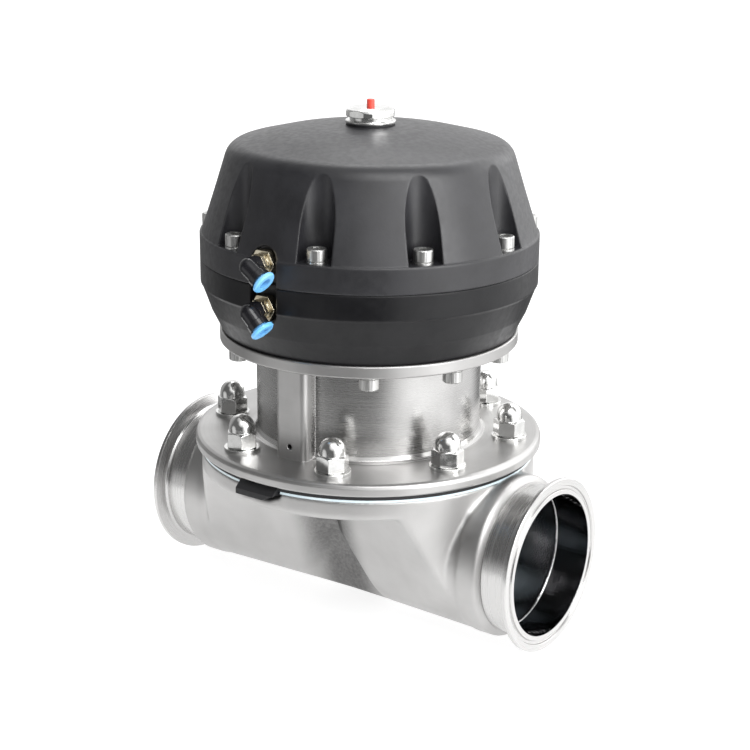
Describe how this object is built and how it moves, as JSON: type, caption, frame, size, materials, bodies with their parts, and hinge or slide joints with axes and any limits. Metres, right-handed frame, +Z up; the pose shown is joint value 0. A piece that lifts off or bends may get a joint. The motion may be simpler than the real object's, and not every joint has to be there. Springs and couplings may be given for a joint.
{
  "type": "diaphragm valve",
  "caption": "Pneumatically operated stainless diaphragm valve with clamp pipe ends, flanged bonnet, domed nuts, ribbed black actuator with elbow air fittings and a red position pin.",
  "frame": {"origin": "centre of the inlet ferrule's face, on the pipe axis", "axes": "+X along the pipe from inlet to outlet, +Z up along the valve stem towards the actuator, -Y towards the air fittings"},
  "size_m": [0.305, 0.2575, 0.3565],
  "materials": {
    "cast_steel": "bead-blasted stainless casting",
    "bonnet_steel": "satin stainless casting",
    "turned_steel": "fine turned stainless",
    "plate_steel": "pressed steel",
    "spring_steel": "spring wire",
    "screw_steel": "stainless screws",
    "polished_steel": "polished stainless",
    "ptfe": "smooth PTFE",
    "epdm": "black EPDM",
    "bearing_plastic": "bearing grade plastic",
    "lower_nylon": "glass-filled nylon, fine texture",
    "upper_nylon": "glass-filled nylon, fine texture",
    "brass": "plain brass",
    "nickel_brass": "nickel-plated brass",
    "red_plastic": "red plastic",
    "black_plastic": "black moulded plastic",
    "blue_plastic": "light blue moulded plastic"
  },
  "bodies": {
    "valve": {"acorn_nuts": "polished_steel", "actuator_membrane": "epdm", "base_lock_washers": "screw_steel", "base_screws": "screw_steel", "body_studs": "turned_steel", "bonnet": "bonnet_steel", "cap_seal": "epdm", "diaphragm_backing": "epdm", "diaphragm_face": "ptfe", "flange_washers": "polished_steel", "housing_inserts": "brass", "housing_lock_washers": "screw_steel", "housing_screws": "screw_steel", "housing_seal": "epdm", "indicator_cap": "polished_steel", "inlet_ferrule": "turned_steel", "inner_spring": "spring_steel", "lower_fitting_seal": "epdm", "lower_fitting_stem": "nickel_brass", "lower_housing": "lower_nylon", "outer_spring": "spring_steel", "outlet_ferrule": "turned_steel", "spindle_bush": "bearing_plastic", "spindle_seal": "epdm", "upper_fitting_seal": "epdm", "upper_fitting_stem": "nickel_brass", "upper_housing": "upper_nylon", "valve_body": "cast_steel"},
    "stem": {"spindle": "turned_steel", "compressor": "turned_steel", "diaphragm_stud": "turned_steel", "lower_plate": "plate_steel", "spring_plate": "plate_steel", "spindle_nut": "turned_steel", "indicator_pin": "red_plastic"},
    "upper_elbow": {"upper_elbow": "black_plastic"},
    "upper_collet": {"upper_collet": "blue_plastic"},
    "lower_elbow": {"lower_elbow": "black_plastic"},
    "lower_collet": {"lower_collet": "blue_plastic"}
  },
  "joints": [
    {"name": "stem_slide", "type": "slide", "parent": "valve", "child": "stem", "axis": [0, 0, 1], "range_m": [0, 0.03], "stiffness_N_per_m": 12000, "springref_m": -0.03, "deforming": ["diaphragm_face", "diaphragm_backing", "actuator_membrane", "outer_spring", "inner_spring"]},
    {"name": "upper_elbow_swivel", "type": "hinge", "parent": "valve", "child": "upper_elbow", "pos_m": [0.1525, -0.1285, 0.2069], "axis": [0, -1, 0], "range_deg": [-10, 200]},
    {"name": "upper_collet_slide", "type": "slide", "parent": "upper_elbow", "child": "upper_collet", "axis": [-0.829, 0, 0.5592], "range_m": [0, 0.001], "stiffness_N_per_m": 1500, "springref_m": -0.0008},
    {"name": "lower_elbow_swivel", "type": "hinge", "parent": "valve", "child": "lower_elbow", "pos_m": [0.1525, -0.1285, 0.1773], "axis": [0, -1, 0], "range_deg": [-150, 0]},
    {"name": "lower_collet_slide", "type": "slide", "parent": "lower_elbow", "child": "lower_collet", "axis": [-0.7193, 0, 0.6947], "range_m": [0, 0.001], "stiffness_N_per_m": 1500, "springref_m": -0.0008}
  ]
}
